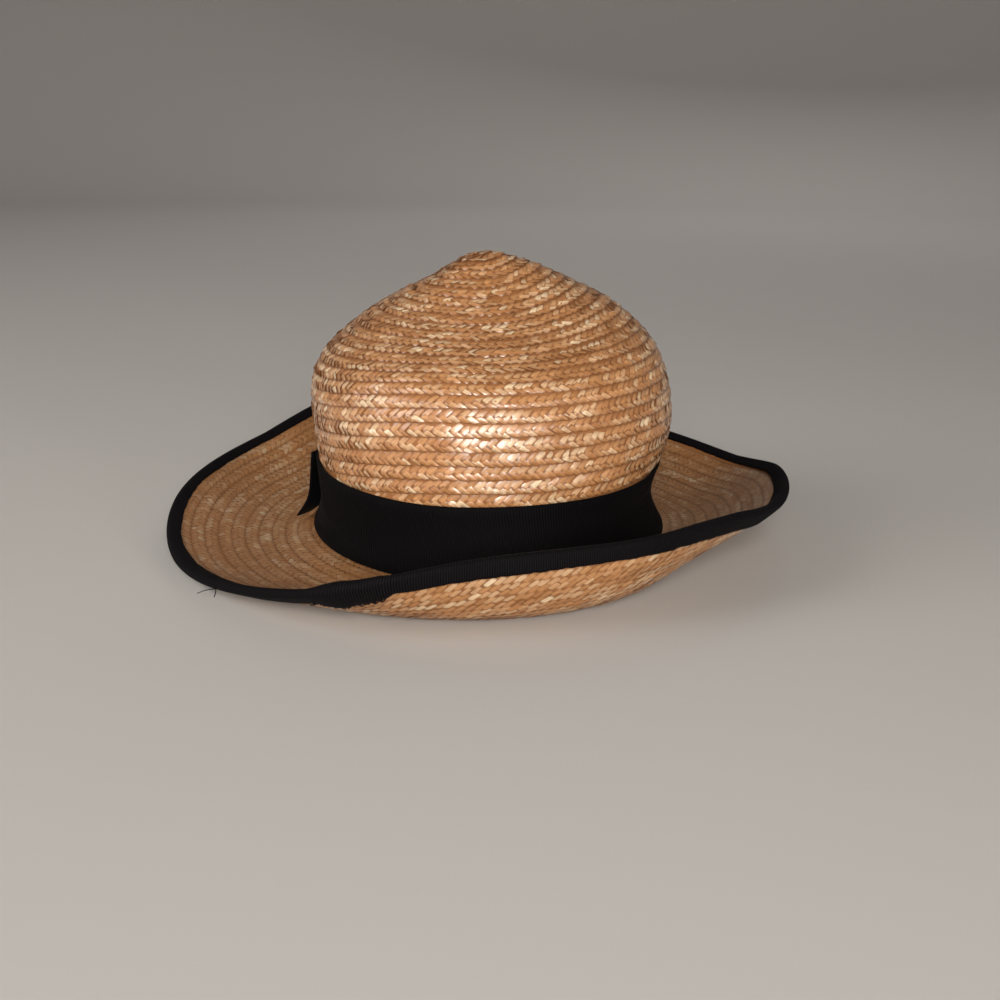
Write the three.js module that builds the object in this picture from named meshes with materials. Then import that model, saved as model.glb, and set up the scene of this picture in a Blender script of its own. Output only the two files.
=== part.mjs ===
import * as THREE from 'three';

// Straw fedora resting on its brim. Millimetres, +Z up.
// +Y is the front of the hat, -X the side with the bow. Azimuth 0 is the back, 90 the right.

// Walls and clearances
const STRAW_WALL = 2.0;
const RIBBON_WALL = 1.0;
const GAP = 0.3;
const SEGMENTS = 64;

// Crown: outer oval at its foot, and the blunt tip
const FOOT_HALF_WIDTH = 82.7;
const FOOT_HALF_DEPTH = 97.5;
const TIP_X = -7.4;
const TIP_Y = 0.2;
const TIP_HEIGHT = 132.3;

// Slope of the crown in degrees below level, by distance from the tip, on its four sides
const CROWN_SLOPES = [
  { fromTip: 0, back: 1, right: -12, front: 1, left: 14 },
  { fromTip: 6, back: 14, right: -3, front: 11, left: 26 },
  { fromTip: 12, back: 32, right: 17, front: 24, left: 34 },
  { fromTip: 20, back: 37, right: 15, front: 26, left: 32 },
  { fromTip: 32, back: 34, right: 22, front: 26, left: 26 },
  { fromTip: 46, back: 30, right: 25, front: 25, left: 28 },
  { fromTip: 60, back: 25, right: 25, front: 27, left: 36 },
  { fromTip: 74, back: 23, right: 39, front: 30, left: 41 },
  { fromTip: 86, back: 24, right: 43, front: 40, left: 55 },
  { fromTip: 98, back: 42, right: 61, front: 55, left: 81 },
  { fromTip: 110, back: 76, right: 73, front: 70, left: 95 },
  { fromTip: 125, back: 88, right: 84, front: 80, left: 98 },
  { fromTip: 150, back: 92, right: 117, front: 87, left: 96 },
];
const SLOPE_REACH = 150;
const SLOPE_STEP = 0.5;
const LOWER_WALL = 30;

// How far the wall is drawn in between its lower edge and the end of the slope table
const WAIST = { back: 1.5, right: 6, front: 1.5, left: 2 };

// Distances from the tip of the rings of the outer and the inner face
const OUTER_RINGS = [6, 13, 22, 31, 41, 51, 61, 71, 80, 88, 95, 101, 107, 114, 123, 132, 141, 150, 157, 165, 169, 173];
const INNER_RINGS = [173, 162, 150, 136, 122, 110, 101, 92, 78, 60, 40, 20, 8];

// Brim: the curl of its section by azimuth
const ROOT_RISE = 3;
const SEAT_WIDTH = 6;
const SEAT_BLEND = 10;
const CURL_POWER = 0.72;
const BRIM_CURL = [
  { azimuth: 0, curlFrom: 26.5, edgeTilt: 98, width: 66.2 },
  { azimuth: 30, curlFrom: 17.5, edgeTilt: 84, width: 65.1 },
  { azimuth: 60, curlFrom: 2, edgeTilt: 48.5, width: 65.4 },
  { azimuth: 90, curlFrom: 4.5, edgeTilt: 44.5, width: 66.3 },
  { azimuth: 120, curlFrom: 17.3, edgeTilt: 39.5, width: 65.7 },
  { azimuth: 150, curlFrom: 17.3, edgeTilt: 49, width: 65.5 },
  { azimuth: 180, curlFrom: 17.8, edgeTilt: 56, width: 65.9 },
  { azimuth: 210, curlFrom: 4, edgeTilt: 63, width: 67.3 },
  { azimuth: 240, curlFrom: 17.3, edgeTilt: 42.5, width: 68.5 },
  { azimuth: 270, curlFrom: 21.2, edgeTilt: 26.7, width: 70.4 },
  { azimuth: 300, curlFrom: 29.2, edgeTilt: 11, width: 69.3 },
  { azimuth: 330, curlFrom: 31.5, edgeTilt: 38, width: 67.8 },
];
const CURL_PITCH = 30;
const SECTION_STEPS = 160;
const CURL_STATIONS = 5;

// Band round the foot of the crown
const BAND_FOOT = 5.6;
const BAND_TOP = 38.2;
const BAND_CLEARANCE = 0.45;
const BAND_RINGS = [BAND_FOOT, 13.2, 17.7, 22.3, 31.3, BAND_TOP];

// Binding round the rim, and the lap where its ribbon ends
const BINDING_TOP_LEG = 6;
const BINDING_UNDER_LEG = 6.5;
const LAP_UNDER_LEG = 9.5;
const UNDER_PITCH = 5;
const LAP_CLEARANCE = 1.75;
const LAP_FIRST_SEGMENT = 59;
const LAP_LAST_SEGMENT = 61;

// Bow on the left of the band: the loop points to the front, the tail to the back
const BOW_AZIMUTH = 256;
const KNOT_WIDTH = 12;
const KNOT_FOOT = 7.2;
const KNOT_TOP = 37.6;
const KNOT_THICK = 2.4;
const LOOP_LENGTH = 34;
const LOOP_FOOT = 9.5;
const LOOP_TOP = 35;
const LOOP_THICK = 2.2;
const TAIL_LENGTH = 22.4;
const TAIL_FOOT = { knot: 5.6, end: 5.4 };
const TAIL_TOP = { knot: 34, end: 37.2 };
const TAIL_STAND_OFF = { foot: 7.4, top: 1.6 };
const BAND_RADIUS_AT_BOW = 98;

const STRAW_COLOUR = 0xc39a63;
const RIBBON_COLOUR = 0x101013;

const radians = THREE.MathUtils.degToRad;
const clamp = THREE.MathUtils.clamp;

// Crown profile of one side: radius from the tip's axis and drop below the tip, by distance
function crownSide(side) {
  const radius = [0];
  const drop = [0];
  const slopeAt = (distance) => {
    let row = 0;
    while (row < CROWN_SLOPES.length - 2 && CROWN_SLOPES[row + 1].fromTip < distance) {
      row += 1;
    }
    const low = CROWN_SLOPES[row];
    const high = CROWN_SLOPES[row + 1];
    const share = (distance - low.fromTip) / (high.fromTip - low.fromTip);
    return radians(low[side] + (high[side] - low[side]) * share);
  };
  for (let i = 1; i <= SLOPE_REACH / SLOPE_STEP; i += 1) {
    const slope = slopeAt((i - 0.5) * SLOPE_STEP);
    radius.push(radius[i - 1] + Math.cos(slope) * SLOPE_STEP);
    drop.push(drop[i - 1] + Math.sin(slope) * SLOPE_STEP);
  }
  return { radius, drop };
}

const SIDES = {
  back: crownSide('back'),
  right: crownSide('right'),
  front: crownSide('front'),
  left: crownSide('left'),
};

function lookUp(values, distance) {
  const place = clamp(distance / SLOPE_STEP, 0, values.length - 1);
  const low = Math.min(Math.floor(place), values.length - 2);
  return values[low] + (values[low + 1] - values[low]) * (place - low);
}

// Outward level direction of an oval at an azimuth
function ovalNormal(halfWidth, halfDepth, azimuth) {
  const normal = new THREE.Vector3(Math.sin(azimuth) / halfWidth, -Math.cos(azimuth) / halfDepth, 0);
  return normal.normalize();
}

const FOOT_HEIGHT = ROOT_RISE + STRAW_WALL + GAP;

// Outer face of the crown at a distance from the tip; past the slope table, the lower wall
function crownPoint(distance, azimuth) {
  const across = Math.sin(azimuth);
  const along = Math.cos(azimuth);
  const sideName = across > 0 ? 'right' : 'left';
  const endName = along > 0 ? 'back' : 'front';
  const side = SIDES[sideName];
  const end = SIDES[endName];
  const reach = Math.min(distance, SLOPE_REACH);
  const drop = lookUp(end.drop, reach) * along ** 2 + lookUp(side.drop, reach) * across ** 2;
  const point = new THREE.Vector3(
    TIP_X + lookUp(side.radius, reach) * across,
    TIP_Y - lookUp(end.radius, reach) * along,
    TIP_HEIGHT - drop,
  );
  if (distance <= SLOPE_REACH) {
    return point;
  }
  const share = (distance - SLOPE_REACH) / LOWER_WALL;
  const foot = new THREE.Vector3(FOOT_HALF_WIDTH * across, -FOOT_HALF_DEPTH * along, FOOT_HEIGHT);
  const waist = WAIST[endName] * along ** 2 + WAIST[sideName] * across ** 2;
  const inward = ovalNormal(FOOT_HALF_WIDTH, FOOT_HALF_DEPTH, azimuth);
  inward.multiplyScalar(-waist * Math.sin(Math.PI * share));
  return point.lerp(foot, share).add(inward);
}

function crownNormal(distance, azimuth) {
  const down = crownPoint(distance + 1, azimuth).sub(crownPoint(distance - 1, azimuth));
  const round = crownPoint(distance, azimuth + 0.02).sub(crownPoint(distance, azimuth - 0.02));
  return down.cross(round).normalize();
}

// Point of the crown's outer face at a height on its wall
function crownAtHeight(height, azimuth) {
  let low = 100;
  let high = SLOPE_REACH + LOWER_WALL;
  for (let i = 0; i < 40; i += 1) {
    const middle = (low + high) / 2;
    if (crownPoint(middle, azimuth).z > height) {
      low = middle;
    } else {
      high = middle;
    }
  }
  return crownPoint(low, azimuth);
}

// Smooth closed curve through one column of the brim table
function curlColumn(name, azimuthDegrees) {
  const count = BRIM_CURL.length;
  const place = (((azimuthDegrees % 360) + 360) % 360) / CURL_PITCH;
  const i = Math.floor(place);
  const t = place - i;
  const value = (k) => BRIM_CURL[(i + k + count) % count][name];
  const [a, b, c, d] = [value(-1), value(0), value(1), value(2)];
  const cubic = (3 * (b - c) + d - a) * t;
  const square = 2 * a - 5 * b + 4 * c - d;
  return b + 0.5 * t * (c - a + t * (square + cubic));
}

// Middle surface of the brim at one azimuth: a short fall to the seat, then the curl
function brimSection(azimuth) {
  const degrees = THREE.MathUtils.radToDeg(azimuth);
  const curlFrom = curlColumn('curlFrom', degrees);
  const edgeTilt = radians(curlColumn('edgeTilt', degrees));
  const width = curlColumn('width', degrees);
  const fall = ROOT_RISE * clamp((curlFrom - SEAT_WIDTH) / SEAT_BLEND, 0, 1);
  const fallLength = Math.max(curlFrom - SEAT_WIDTH, 3);
  const tiltAt = (run) => {
    let tilt = 0;
    if (run < fallLength) {
      tilt -= Math.asin(((fall * Math.PI) / 2 / fallLength) * Math.sin((Math.PI * run) / fallLength));
    }
    if (run > curlFrom) {
      tilt += edgeTilt * Math.min((run - curlFrom) / (width - curlFrom), 1) ** CURL_POWER;
    }
    return tilt;
  };
  const step = width / SECTION_STEPS;
  const reach = [0];
  const height = [ROOT_RISE + STRAW_WALL / 2];
  for (let i = 1; i <= SECTION_STEPS; i += 1) {
    const tilt = tiltAt((i - 0.5) * step);
    reach.push(reach[i - 1] + Math.cos(tilt) * step);
    height.push(height[i - 1] + Math.sin(tilt) * step);
  }
  const inner = [FOOT_HALF_WIDTH - STRAW_WALL, FOOT_HALF_DEPTH - STRAW_WALL];
  const outward = ovalNormal(inner[0], inner[1], azimuth);
  const root = new THREE.Vector3(inner[0] * Math.sin(azimuth), -inner[1] * Math.cos(azimuth), 0);
  // Point at a run from the crown, lifted off the middle surface along its normal
  const at = (run, lift) => {
    const place = clamp(run / step, 0, SECTION_STEPS);
    const low = Math.min(Math.floor(place), SECTION_STEPS - 1);
    const tilt = tiltAt(clamp(run, 0, width));
    const beyond = Math.max(run - width, 0);
    let out = reach[low] + (reach[low + 1] - reach[low]) * (place - low);
    let up = height[low] + (height[low + 1] - height[low]) * (place - low);
    out += beyond * Math.cos(tilt) - lift * Math.sin(tilt);
    up += beyond * Math.sin(tilt) + lift * Math.cos(tilt);
    return root.clone().addScaledVector(outward, out).setZ(up);
  };
  return { at, width, curlFrom, fallLength };
}

// Triangle mesh with its faces turned outward
function solid(name, points, faces, colour, roughness) {
  let volume = 0;
  const cross = new THREE.Vector3();
  for (const [a, b, c] of faces) {
    volume += points[a].dot(cross.crossVectors(points[b], points[c]));
  }
  const turned = volume < 0 ? faces.map(([a, b, c]) => [a, c, b]) : faces;
  const geometry = new THREE.BufferGeometry();
  geometry.setAttribute('position', new THREE.Float32BufferAttribute(points.flatMap((p) => p.toArray()), 3));
  geometry.setIndex(turned.flat());
  geometry.computeVertexNormals();
  const material = new THREE.MeshStandardMaterial({ color: colour, roughness, metalness: 0 });
  const mesh = new THREE.Mesh(geometry, material);
  mesh.name = name;
  return mesh;
}

function quad(faces, a, b, c, d) {
  faces.push([a, b, c], [a, c, d]);
}

// The same four corners parted along the other diagonal
function quadTurned(faces, a, b, c, d) {
  faces.push([a, b, d], [b, c, d]);
}

// Solid of loops that follow one another; the loops close on themselves
function sweep(name, loops, closed, colour, roughness, part = quad) {
  const size = loops[0].length;
  const points = loops.flat();
  const faces = [];
  const last = closed ? loops.length : loops.length - 1;
  for (let i = 0; i < last; i += 1) {
    const next = (i + 1) % loops.length;
    for (let j = 0; j < size; j += 1) {
      const k = (j + 1) % size;
      part(faces, i * size + j, i * size + k, next * size + k, next * size + j);
    }
  }
  if (!closed) {
    const end = (loops.length - 1) * size;
    for (let j = 0; j < size / 2 - 1; j += 1) {
      const opposite = size - 1 - j;
      quad(faces, j, opposite, opposite - 1, j + 1);
      quad(faces, end + j, end + j + 1, end + opposite - 1, end + opposite);
    }
  }
  return solid(name, points, faces, colour, roughness);
}

function azimuthOf(index) {
  return (2 * Math.PI * index) / SEGMENTS;
}

const aroundHat = Array.from({ length: SEGMENTS }, (_, i) => azimuthOf(i));

// Crown: outer rings from the tip to the foot, then inner rings back up
function makeCrown() {
  const rings = [];
  for (const distance of OUTER_RINGS) {
    rings.push(aroundHat.map((azimuth) => crownPoint(distance, azimuth)));
  }
  rings.push(aroundHat.map((azimuth) => crownPoint(SLOPE_REACH + LOWER_WALL, azimuth)));
  rings.push(aroundHat.map((azimuth) => {
    const outward = ovalNormal(FOOT_HALF_WIDTH, FOOT_HALF_DEPTH, azimuth);
    return crownPoint(SLOPE_REACH + LOWER_WALL, azimuth).addScaledVector(outward, -STRAW_WALL);
  }));
  for (const distance of INNER_RINGS) {
    rings.push(aroundHat.map((azimuth) => {
      const normal = crownNormal(distance, azimuth);
      return crownPoint(distance, azimuth).addScaledVector(normal, -STRAW_WALL);
    }));
  }
  const points = rings.flat();
  const faces = [];
  for (let i = 0; i < rings.length - 1; i += 1) {
    for (let j = 0; j < SEGMENTS; j += 1) {
      const k = (j + 1) % SEGMENTS;
      const low = i * SEGMENTS;
      const high = low + SEGMENTS;
      quad(faces, low + j, high + j, high + k, low + k);
    }
  }
  const outerTip = points.length;
  points.push(crownPoint(0, 0));
  const innerTip = points.length;
  points.push(crownPoint(0, 0).add(new THREE.Vector3(0, 0, -STRAW_WALL)));
  const lastRing = (rings.length - 1) * SEGMENTS;
  for (let j = 0; j < SEGMENTS; j += 1) {
    const k = (j + 1) % SEGMENTS;
    faces.push([outerTip, j, k], [innerTip, lastRing + k, lastRing + j]);
  }
  return solid('crown', points, faces, STRAW_COLOUR, 0.55);
}

// Brim: the upper face out to the rim and the under face back to the crown
function makeBrim() {
  const loops = aroundHat.map((azimuth) => {
    const section = brimSection(azimuth);
    const seatEnd = Math.max(section.curlFrom, section.fallLength + 2);
    const lastCurl = section.width - BINDING_TOP_LEG;
    const runs = [0, section.fallLength / 2, section.fallLength, seatEnd];
    for (let k = 1; k <= CURL_STATIONS; k += 1) {
      runs.push(seatEnd + ((lastCurl - seatEnd) * k) / CURL_STATIONS);
    }
    runs.push(section.width - BINDING_TOP_LEG / 2, section.width);
    const upper = runs.map((run) => section.at(run, STRAW_WALL / 2));
    const under = runs.map((run) => section.at(run, -STRAW_WALL / 2));
    return [...upper, ...under.reverse()];
  });
  return sweep('brim', loops, true, STRAW_COLOUR, 0.6);
}

// Outer face of the crown, the band or the bow, pushed out by a level offset
function offCrown(height, azimuth, offset) {
  const outward = ovalNormal(FOOT_HALF_WIDTH, FOOT_HALF_DEPTH, azimuth);
  return crownAtHeight(height, azimuth).addScaledVector(outward, offset);
}

function makeBand() {
  const loops = aroundHat.map((azimuth) => {
    const outer = BAND_RINGS.map((height) => offCrown(height, azimuth, BAND_CLEARANCE + RIBBON_WALL));
    const inner = BAND_RINGS.map((height) => offCrown(height, azimuth, BAND_CLEARANCE));
    return [...outer, ...inner.reverse()];
  });
  return sweep('band', loops, true, RIBBON_COLOUR, 0.85);
}

// Ribbon folded round the rim: outer face over the edge, then the inner face back
function foldLoop(azimuth, clearance, underLeg) {
  const section = brimSection(azimuth);
  const near = STRAW_WALL / 2 + clearance;
  const far = near + RIBBON_WALL;
  const w = section.width;
  const edge = w + clearance;
  const top = [w - BINDING_TOP_LEG, w - BINDING_TOP_LEG / 2];
  const under = [];
  for (let leg = UNDER_PITCH; leg < underLeg; leg += UNDER_PITCH) {
    under.push(w - leg);
  }
  under.push(w - underLeg);
  const rows = [
    ...top.map((run) => [run, far]),
    [w + 0.2, far],
    [edge + RIBBON_WALL, far - RIBBON_WALL],
    [edge + RIBBON_WALL, RIBBON_WALL - far],
    [w + 0.2, -far],
    ...under.map((run) => [run, -far]),
    ...under.reverse().map((run) => [run, -near]),
    [w, -near],
    [edge, RIBBON_WALL - near],
    [edge, near - RIBBON_WALL],
    [w, near],
    ...top.reverse().map((run) => [run, near]),
  ];
  return rows.map(([run, lift]) => section.at(run, lift));
}

function makeBinding() {
  const loops = aroundHat.map((azimuth) => foldLoop(azimuth, GAP, BINDING_UNDER_LEG));
  return sweep('brim_binding', loops, true, RIBBON_COLOUR, 0.85, quadTurned);
}

function makeLap() {
  const loops = [];
  for (let k = LAP_FIRST_SEGMENT; k <= LAP_LAST_SEGMENT; k += 1) {
    loops.push(foldLoop(azimuthOf(k), LAP_CLEARANCE, LAP_UNDER_LEG));
  }
  return sweep('binding_lap', loops, false, RIBBON_COLOUR, 0.85);
}

// Ribbon pad over the band: an under face and an outer face on a grid, joined at the edges
function pad(name, countU, countV, place) {
  const points = [];
  const faces = [];
  const size = (countU + 1) * (countV + 1);
  for (const face of [0, 1]) {
    for (let i = 0; i <= countU; i += 1) {
      for (let j = 0; j <= countV; j += 1) {
        points.push(place(i / countU, j / countV, face));
      }
    }
  }
  const at = (i, j, face) => face * size + i * (countV + 1) + j;
  for (let i = 0; i < countU; i += 1) {
    for (let j = 0; j < countV; j += 1) {
      quad(faces, at(i, j, 1), at(i + 1, j, 1), at(i + 1, j + 1, 1), at(i, j + 1, 1));
      quad(faces, at(i, j, 0), at(i, j + 1, 0), at(i + 1, j + 1, 0), at(i + 1, j, 0));
    }
    quad(faces, at(i, 0, 0), at(i + 1, 0, 0), at(i + 1, 0, 1), at(i, 0, 1));
    quad(faces, at(i + 1, countV, 0), at(i, countV, 0), at(i, countV, 1), at(i + 1, countV, 1));
  }
  for (let j = 0; j < countV; j += 1) {
    quad(faces, at(0, j + 1, 0), at(0, j, 0), at(0, j, 1), at(0, j + 1, 1));
    quad(faces, at(countU, j, 0), at(countU, j + 1, 0), at(countU, j + 1, 1), at(countU, j, 1));
  }
  return solid(name, points, faces, RIBBON_COLOUR, 0.85);
}

const BAND_FACE = BAND_CLEARANCE + RIBBON_WALL + GAP;

// Azimuth at a length along the band from the bow, counted towards the front
function bowAzimuth(length) {
  return radians(BOW_AZIMUTH) - length / BAND_RADIUS_AT_BOW;
}

function makeKnot() {
  return pad('bow_knot', 6, 6, (u, v, face) => {
    const height = KNOT_FOOT + (KNOT_TOP - KNOT_FOOT) * v;
    const round = 1 - 0.5 * (2 * u - 1) ** 4 - 0.15 * (2 * v - 1) ** 6;
    return offCrown(height, bowAzimuth(KNOT_WIDTH * (u - 0.5)), BAND_FACE + 0.15 + face * KNOT_THICK * round);
  });
}

function makeLoop() {
  const start = KNOT_WIDTH / 2 + GAP;
  return pad('bow_loop', 8, 6, (u, v, face) => {
    const height = LOOP_FOOT + (LOOP_TOP - LOOP_FOOT) * v;
    const fold = Math.sqrt(1 - 0.9 * u ** 6);
    return offCrown(height, bowAzimuth(start + LOOP_LENGTH * u), BAND_FACE + 0.15 + face * LOOP_THICK * fold);
  });
}

// Tail: leaves the wrap along the band and stands off it, most at the lower corner of its cut
function makeTail() {
  const start = KNOT_WIDTH / 2 + GAP;
  return pad('bow_tail', 8, 6, (u, v, face) => {
    const foot = TAIL_FOOT.knot + (TAIL_FOOT.end - TAIL_FOOT.knot) * u;
    const top = TAIL_TOP.knot + (TAIL_TOP.end - TAIL_TOP.knot) * u;
    const flare = TAIL_STAND_OFF.top + (TAIL_STAND_OFF.foot - TAIL_STAND_OFF.top) * (1 - v);
    const stand = BAND_FACE + 0.2 + flare * u ** 2.5;
    return offCrown(foot + (top - foot) * v, bowAzimuth(-start - TAIL_LENGTH * u), stand + face * RIBBON_WALL);
  });
}

const hat = new THREE.Group();
hat.name = 'straw_fedora';
hat.add(makeCrown());
hat.add(makeBrim());
hat.add(makeBand());
hat.add(makeKnot());
hat.add(makeLoop());
hat.add(makeTail());
hat.add(makeBinding());
hat.add(makeLap());

// The origin is the middle of the hat's box, on the surface it rests on
const box = new THREE.Box3().setFromObject(hat);
const middle = box.getCenter(new THREE.Vector3());
for (const piece of hat.children) {
  piece.geometry.translate(-middle.x, -middle.y, -box.min.z);
}

export default hat;
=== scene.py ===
"""Straw hat: plaited straw crown and brim, black ribbed ribbon band, bow and rim binding.

Shapes are worked out in millimetres with numpy and put into meshes in metres, in the frame of the
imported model: +Z up, +Y towards the front of the hat, -X towards the bow. Azimuth 0 is the back.
"""

import bpy
import numpy as np
from mathutils import Matrix


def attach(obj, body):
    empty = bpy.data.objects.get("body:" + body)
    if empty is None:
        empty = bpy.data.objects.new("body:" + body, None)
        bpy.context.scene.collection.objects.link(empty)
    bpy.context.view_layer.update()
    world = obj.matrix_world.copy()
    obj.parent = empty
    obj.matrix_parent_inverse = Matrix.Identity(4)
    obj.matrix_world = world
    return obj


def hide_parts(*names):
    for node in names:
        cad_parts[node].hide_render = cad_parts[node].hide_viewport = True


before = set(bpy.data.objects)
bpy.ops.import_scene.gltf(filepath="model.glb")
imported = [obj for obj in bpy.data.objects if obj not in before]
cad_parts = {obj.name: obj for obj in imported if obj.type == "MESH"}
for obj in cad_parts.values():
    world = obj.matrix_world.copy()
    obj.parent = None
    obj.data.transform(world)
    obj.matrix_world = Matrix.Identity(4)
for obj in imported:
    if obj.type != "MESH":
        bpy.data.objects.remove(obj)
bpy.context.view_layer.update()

bl_info = {
    "name": "Straw hat dressing",
    "version": (1, 0, 0),
    "blender": (4, 5, 0),
    "location": "3D View > Sidebar > Hat",
    "description": "Dresses the hat's solids in plaited straw and ribbed ribbon",
    "category": "Object",
}

TURN = 2 * np.pi
MM = 0.001

# Place of the hat's own axis in the frame
AXIS = np.array([4.436, -2.543, 0.0])

# Crown: oval of its foot, its blunt tip, and its slopes below level by distance from the tip
STRAW_WALL = 2.0
FOOT_HALF = (82.7, 97.5)
FOOT_HEIGHT = 5.3
TIP = (-7.4, 0.2, 132.3)
FROM_TIP = (0, 6, 12, 20, 32, 46, 60, 74, 86, 98, 110, 125, 150)
SLOPES = {
    "back": (1, 14, 32, 37, 34, 30, 25, 23, 24, 42, 76, 88, 92),
    "right": (-12, -3, 17, 15, 22, 25, 25, 39, 43, 61, 73, 84, 117),
    "front": (1, 11, 24, 26, 26, 25, 27, 30, 40, 55, 70, 80, 87),
    "left": (14, 26, 34, 32, 26, 28, 36, 41, 55, 81, 95, 98, 96),
}
WAIST = {"back": 1.5, "right": 6.0, "front": 1.5, "left": 2.0}
SLOPE_REACH = 150.0
SLOPE_STEP = 0.5
LOWER_WALL = 30.0

# Least distance from the tip, steps down and round that give the tangents, start of the steep wall and
# how often the way to a height on it is halved
LEAST_DISTANCE = 0.5
STEP_DOWN = 0.4
STEP_ROUND = 0.02
WALL_FROM = 100.0
HALVINGS = 26

# Brim: start of the curl, tilt of the edge and width, every 30 degrees from the back
ROOT_HALF = (FOOT_HALF[0] - STRAW_WALL, FOOT_HALF[1] - STRAW_WALL)
ROOT_RISE = 3.0
CURL_FROM = (26.5, 17.5, 2, 4.5, 17.3, 17.3, 17.8, 4, 17.3, 21.2, 29.2, 31.5)
EDGE_TILT = (98, 84, 48.5, 44.5, 39.5, 49, 56, 63, 42.5, 26.7, 11, 38)
BRIM_WIDTH = (66.2, 65.1, 65.4, 66.3, 65.7, 65.5, 65.9, 67.3, 68.5, 70.4, 69.3, 67.8)
CURL_POWER = 0.72
MEAN_WIDTH = 67.0
SEAT_WIDTH = 6.0
SEAT_BLEND = 10.0
LEAST_FALL = 3.0
SECTIONS = len(BRIM_WIDTH)
BRIM_TURNS = 720
BRIM_STEPS = 240
RIM_HALF = (ROOT_HALF[0] + 62, ROOT_HALF[1] + 50)

# Ribbons: height of the band, legs of the binding every 30 degrees, lap, bow and loose thread. Points
# round one rib, and threads to a millimetre across the ribs
PER_RIB = 4
THREADS = 2.2
BAND_FOOT = 5.6
BAND_TOP = 38.2
BAND_HEIGHTS = (BAND_FOOT, BAND_FOOT + 0.35, 10, 16, 22, 28, 34, BAND_TOP - 0.35, BAND_TOP)
BAND_SWELL = (0.35, 0.75, 0.8, 0.85, 0.85, 0.85, 0.8, 0.75, 0.35)
BAND_OFF = 0.45
BAND_FACE = 1.75
TOP_LEG = (6, 6, 6, 5.4, 4.4, 4.2, 4.2, 4, 3.8, 4.6, 5.6, 6)
UNDER_LEG = (6.6, 5.8, 8.5, 7, 7, 7, 7, 7, 7, 7, 7, 5.6)
BINDING_NEAR = 1.3
BINDING_THICK = 0.65
LAP_UNDER_LEG = 8.6
LAP_NEAR = 1.9
STITCHES = 15
LAP_SHAPE = ((0, 0.13, 0.28, 0.42, 0.64, 0.86, 1), (0.6, 0.64, 0.85, 1, 0.97, 0.93, 0.75))
LAP_AZIMUTH = np.radians((333.0, 346.0))
BOW_AZIMUTH = np.radians(256.0)
BOW_RADIUS = 98.0
KNOT_WIDTH = 12.0
KNOT_FOOT = 7.2
KNOT_HEIGHT = 30.4
KNOT_RIBS = 25
LOOP_LENGTH = 34.0
LOOP_FOOT = 9.5
LOOP_HEIGHT = 25.5
LOOP_STEPS = 108
LOOP_OFF = 0.45
TAIL_LENGTH = 22.4
TAIL_TOP = 34
THREAD_AZIMUTH = np.radians(314.0)
THREAD_SIDES = 6
SKEW = (0.31, 0.17, 0.93)  # no thread runs this way

# Crown's straw: lifts of the backing off the outer face, of the inner plait, first and last distance
# of the spirals, height of the lowest strands, and the tuck of the rows under the band
CROWN_COLUMNS = 144
CROWN_BACKING = (-0.62, -1.3)
INNER_FACE = -1.5
CROWN_SPIRAL = (-2.6, 156)
INNER_SPIRAL = (-2.6, 172)
INNER_END = 175
LOWEST_STRAND = 36
TUCK = 0.5
TUCK_FROM = 39.5
TUCK_FADE = 2.5

# Brim's straw: lifts of the backing and of the plait off the middle surface, first and last run of the
# spirals, and where the plait is drawn together at the crown and under the binding
BRIM_COLUMNS = 180
BRIM_ROWS = 57
BRIM_BACKING = (0.86, -0.4)
TOP_FACE = 0.95
UNDER_FACE = -0.7
UNDER_LOWEST = -0.98
TOP_SPIRAL = (-5.5, 60)
UNDER_SPIRAL = (-5.5, 61)
ROOT_RUN = 1.2
TOP_END = MEAN_WIDTH - 2.5
UNDER_END = MEAN_WIDTH - 4.5
SHOWN_RUN = (0.5, MEAN_WIDTH - 2.0)

# Stage: floor that rises at its edge, in millimetres; photo's camera, its lens and sensor in
# millimetres, its place in metres, its tilt down and its roll
FLOOR_COLUMNS = 96
FLOOR_FLAT = 1900
FLOOR_BEND = 900
FLOOR_TOP = 2600
LENS = 50.4
SENSOR = 36
CAMERA_PLACE = (0.00971, -0.651127, 0.20627)
CAMERA_PITCH, CAMERA_ROLL = np.radians((16.536, 0.9906))


# ---------------------------------------------------------------- surfaces of the hat


def running(steps):
    """Running sums along the last axis, from nought."""
    return np.insert(np.cumsum(steps, -1), 0, 0, -1)


def unit(vectors):
    """Vectors made one long."""
    return vectors / np.linalg.norm(vectors, axis=-1, keepdims=True)


def crown_sides():
    """Profile of each side: radius and drop are the running sums of cosine and sine of the slope."""
    middle = np.arange(SLOPE_STEP / 2, SLOPE_REACH, SLOPE_STEP)
    sides = {}
    for side, degrees in SLOPES.items():
        slope = np.radians(np.interp(middle, FROM_TIP, degrees))
        sides[side] = running(np.cos(slope) * SLOPE_STEP), running(np.sin(slope) * SLOPE_STEP)
    return sides


SIDES = crown_sides()
SIDE_STEPS = np.arange(0, SLOPE_REACH + SLOPE_STEP / 2, SLOPE_STEP)


def oval_out(half, azimuth):
    """Level outward direction of an oval: sine and cosine over the half sizes, made unit long."""
    x, y = np.sin(azimuth) / half[0], -np.cos(azimuth) / half[1]
    size = np.hypot(x, y)
    return np.stack([x / size, y / size, np.zeros_like(size)], -1)


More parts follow.
